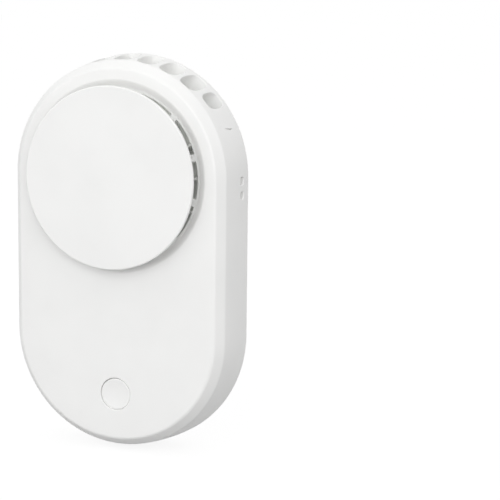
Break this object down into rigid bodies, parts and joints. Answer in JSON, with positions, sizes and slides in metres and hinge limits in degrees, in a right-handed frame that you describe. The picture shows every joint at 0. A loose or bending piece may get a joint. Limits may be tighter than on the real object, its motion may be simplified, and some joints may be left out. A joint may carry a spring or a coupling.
{
  "type": "eyelash fan",
  "caption": "Pill-shaped pocket blower fan with a raised intake disc, outlet vents round its top end and a flush push button.",
  "frame": {"origin": "centre of the flat back face", "axes": "+Z along the length towards the outlet vents, +Y out of the flat back, so the intake disc and the button face -Y"},
  "size_m": [0.0648, 0.0227, 0.1076],
  "materials": {
    "white_abs": "satin moulded white ABS",
    "natural_pc": "moulded off-white polycarbonate",
    "plated_steel": "bright zinc or nickel plate",
    "lamination_steel": "stacked silicon steel sheet",
    "ferrite": "matt dark grey ferrite",
    "enamelled_copper": "glossy enamelled copper wire",
    "sintered_bronze": "oily porous bronze",
    "black_nylon": "moulded black nylon",
    "black_epoxy": "moulded black epoxy",
    "board_laminate": "green solder mask on glass laminate",
    "pouch_foil": "silver laminated pouch foil",
    "foam": "soft black foam",
    "red_sleeve": "red silicone wire sleeve",
    "black_sleeve": "black silicone wire sleeve"
  },
  "bodies": {
    "housing": {"front_shell": "white_abs", "rear_cover": "white_abs", "intake_disc": "white_abs", "sleeve_bearing": "sintered_bronze", "motor_base": "black_nylon", "motor_board": "board_laminate", "hall_sensor": "black_epoxy", "stator_core": "lamination_steel", "control_board": "board_laminate", "switch_body": "black_nylon", "usb_shell": "plated_steel", "usb_tongue": "black_nylon", "charge_chip": "black_epoxy", "inductor": "ferrite", "battery_cell": "pouch_foil", "battery_pad": "foam", "battery_lead_red": "red_sleeve", "battery_lead_black": "black_sleeve", "motor_lead_red": "red_sleeve", "motor_lead_black": "black_sleeve", "stator_coil_1": "enamelled_copper", "stator_coil_2": "enamelled_copper", "stator_coil_3": "enamelled_copper", "stator_coil_4": "enamelled_copper", "stator_coil_5": "enamelled_copper", "stator_coil_6": "enamelled_copper", "motor_screw_1": "plated_steel", "motor_screw_2": "plated_steel", "motor_screw_3": "plated_steel", "board_screw_1": "plated_steel", "board_screw_2": "plated_steel", "case_screw_1": "plated_steel", "case_screw_2": "plated_steel", "case_screw_3": "plated_steel", "case_screw_4": "plated_steel"},
    "rotor": {"impeller": "natural_pc", "rotor_cup": "plated_steel", "magnet_ring": "ferrite", "motor_shaft": "plated_steel", "shaft_clip": "plated_steel"},
    "button": {"power_button": "white_abs"},
    "plunger": {"switch_plunger": "black_nylon"}
  },
  "joints": [
    {"name": "impeller_spin", "type": "hinge", "parent": "housing", "child": "rotor", "pos_m": [0, -0.009, 0.0215], "axis": [0, -1, 0], "continuous": true},
    {"name": "button_press", "type": "slide", "parent": "housing", "child": "button", "axis": [0, 1, 0], "range_m": [0, 0.00045], "stiffness_N_per_m": 3000},
    {"name": "plunger_press", "type": "slide", "parent": "housing", "child": "plunger", "axis": [0, 1, 0], "range_m": [0, 0.0003]}
  ],
  "couplings": [
    {"joint": "plunger_press", "follows": "button_press", "ratio": 0.6}
  ]
}
